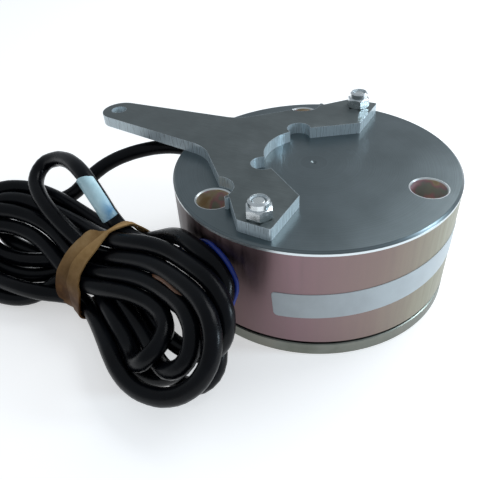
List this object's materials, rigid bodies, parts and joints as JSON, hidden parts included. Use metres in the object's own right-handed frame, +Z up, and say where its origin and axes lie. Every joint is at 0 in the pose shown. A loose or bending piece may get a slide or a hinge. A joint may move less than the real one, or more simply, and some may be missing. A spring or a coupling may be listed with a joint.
{
  "type": "motor brake",
  "caption": "Round spring-applied motor brake with a forked hand release lever, rear counterbored mounting holes and a bundled lead.",
  "frame": {"origin": "centre of the armature's hole at its front face, which the brake stands on", "axes": "+Z up along the brake's axis to its rear face; -X along the release lever's handle; the two release studs lie along Y"},
  "size_m": [0.2215, 0.1806, 0.0701],
  "materials": {
    "passivated_steel": "turned steel with an iridescent yellow zinc finish",
    "moulded_plastic": "natural moulded plastic",
    "copper": "enamelled copper wire",
    "resin": "cast dark resin",
    "plain_steel": "ground steel, grey green",
    "spring_steel": "oiled spring steel",
    "passivated_bush": "yellow zinc on turned steel",
    "zinc_fastener": "bright zinc",
    "nylon": "pale nylon",
    "zinc_plate": "satin zinc with bright edges",
    "black_rubber": "black rubber",
    "label_film": "pale grey film, left blank",
    "black_sheath": "black sheath with a satin shine",
    "bundled_cord": "bundled turns of the black lead",
    "tan_rubber": "tan rubber",
    "pale_tape": "pale blue-white tape",
    "blue_insulation": "blue insulation",
    "brown_insulation": "brown insulation",
    "bare_copper": "bare stranded copper"
  },
  "bodies": {
    "brake": {"magnet_body": "passivated_steel", "coil_bobbin": "moulded_plastic", "coil_winding": "copper", "potting_ring": "resin", "torque_springs": "spring_steel", "spacer_bushes": "passivated_bush", "cable_grommet": "black_rubber", "blank_label": "label_film", "power_cord": "black_sheath", "cord_loop": "black_sheath", "cord_hank": "bundled_cord", "rubber_band": "tan_rubber", "tape_sleeve": "pale_tape", "blue_core": "blue_insulation", "brown_core": "brown_insulation", "blue_wire_end": "bare_copper", "brown_wire_end": "bare_copper"},
    "armature": {"armature_plate": "plain_steel", "release_stud_left": "zinc_fastener", "release_stud_right": "zinc_fastener", "lock_nut_left": "zinc_fastener", "lock_nut_right": "zinc_fastener", "nylon_ring_left": "nylon", "nylon_ring_right": "nylon"},
    "lever": {"release_lever": "zinc_plate"}
  },
  "joints": [
    {"name": "lever_swing", "type": "hinge", "parent": "brake", "child": "lever", "pos_m": [0.0091, 0, 0.057], "axis": [0, 1, 0], "range_deg": [0, 4.9]},
    {"name": "armature_lift", "type": "slide", "parent": "brake", "child": "armature", "axis": [0, 0, 1], "range_m": [0, 0.00117], "stiffness_N_per_m": 7000, "springref_m": -0.01, "deforming": ["torque_springs"]}
  ],
  "couplings": [
    {"joint": "lever_swing", "follows": "armature_lift", "rad_per_m": 73}
  ]
}
